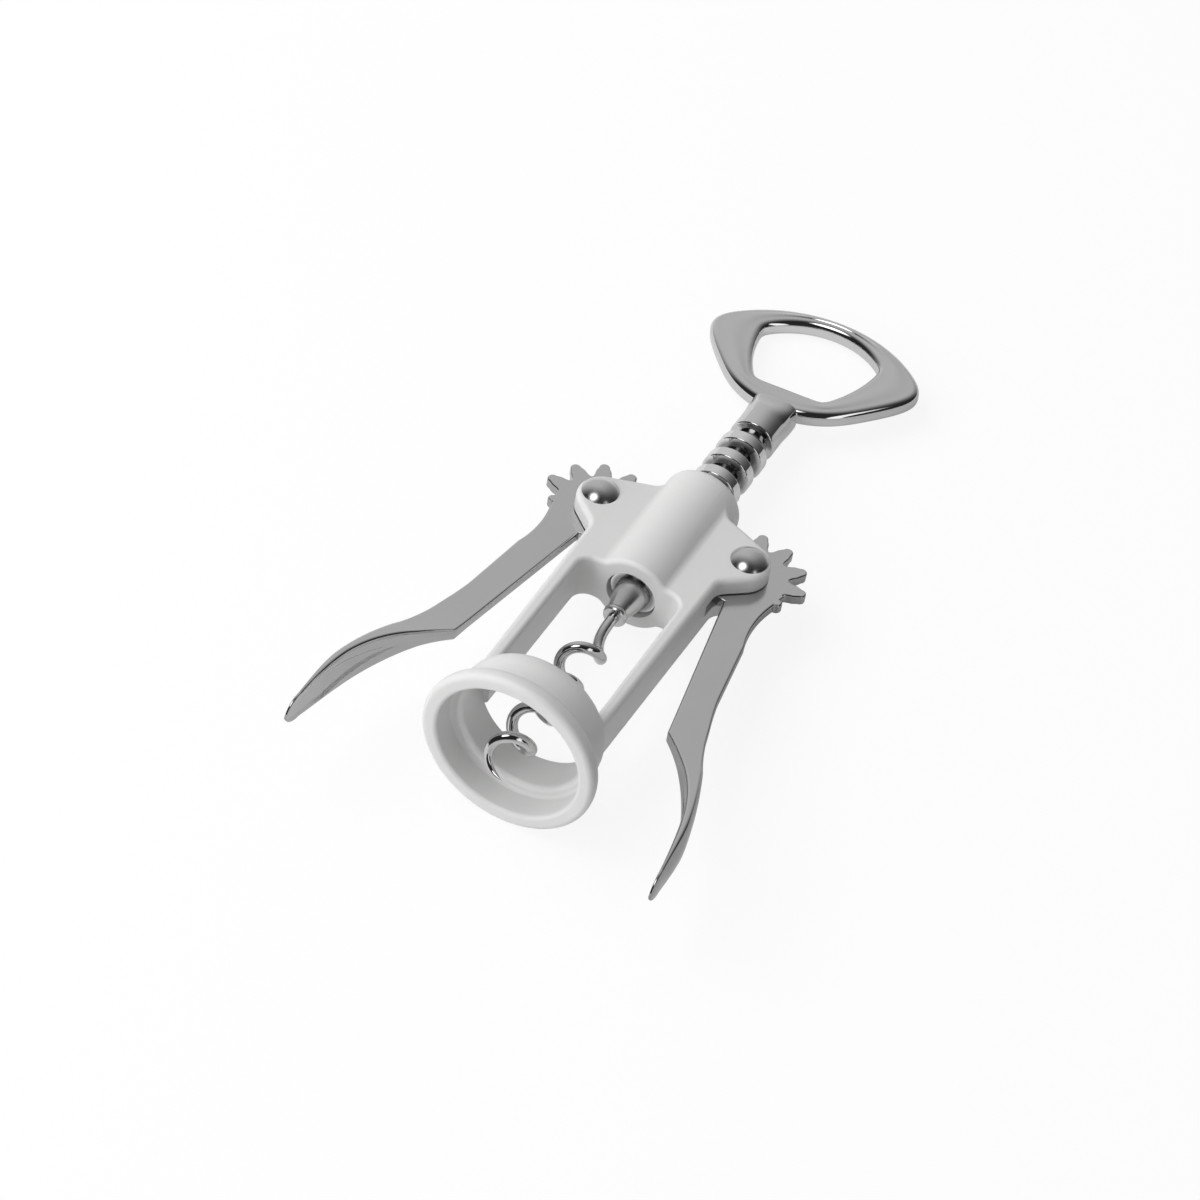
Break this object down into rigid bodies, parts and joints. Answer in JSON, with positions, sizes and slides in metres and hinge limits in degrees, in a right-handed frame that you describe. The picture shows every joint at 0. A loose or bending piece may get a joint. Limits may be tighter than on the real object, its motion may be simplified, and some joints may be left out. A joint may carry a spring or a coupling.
{
  "type": "wing corkscrew",
  "caption": "Two-lever corkscrew: a moulded bell frame, geared levers that drive a ringed rack, a wire worm and a crown-cap opener on top.",
  "frame": {"origin": "centre of the bell's mouth, on the worm's axis, level with the mouth's rim", "axes": "+Y along the worm's axis from the bell to the opener, +X towards the right lever, +Z out of the side with the rivets' domed heads; the part lies on its back"},
  "size_m": [0.0802, 0.1675, 0.0378],
  "materials": {
    "frame_plastic": "satin light grey, moulded",
    "lever_metal": "satin faces with polished edges",
    "rivet_metal": "polished",
    "plated_metal": "nickel plated",
    "opener_metal": "satin plated with polished edges",
    "worm_metal": "polished wire"
  },
  "bodies": {
    "frame": {"frame": "frame_plastic", "rivet_left": "rivet_metal", "rivet_right": "rivet_metal", "rear_cap_left": "rivet_metal", "rear_cap_right": "rivet_metal"},
    "lever_left": {"lever_left": "lever_metal"},
    "lever_right": {"lever_right": "lever_metal"},
    "rack": {"rack_sleeve": "plated_metal"},
    "screw": {"opener_handle": "opener_metal", "worm_ferrule": "plated_metal", "worm": "worm_metal"}
  },
  "joints": [
    {"name": "lever_right_hinge", "type": "hinge", "parent": "frame", "child": "lever_right", "pos_m": [0.01717, 0.07003, 0], "axis": [0, 0, 1], "range_deg": [-8, 140]},
    {"name": "lever_left_hinge", "type": "hinge", "parent": "frame", "child": "lever_left", "pos_m": [-0.01717, 0.07003, 0], "axis": [0, 0, -1], "range_deg": [-8, 140]},
    {"name": "rack_slide", "type": "slide", "parent": "frame", "child": "rack", "axis": [0, -1, 0], "range_m": [-0.0017, 0.02895]},
    {"name": "handle_spin", "type": "hinge", "parent": "rack", "child": "screw", "pos_m": [0, 0.11, 0], "axis": [0, 1, 0], "continuous": true}
  ],
  "couplings": [
    {"joint": "lever_left_hinge", "follows": "lever_right_hinge", "ratio": 1},
    {"joint": "rack_slide", "follows": "lever_right_hinge", "m_per_rad": 0.011841}
  ]
}
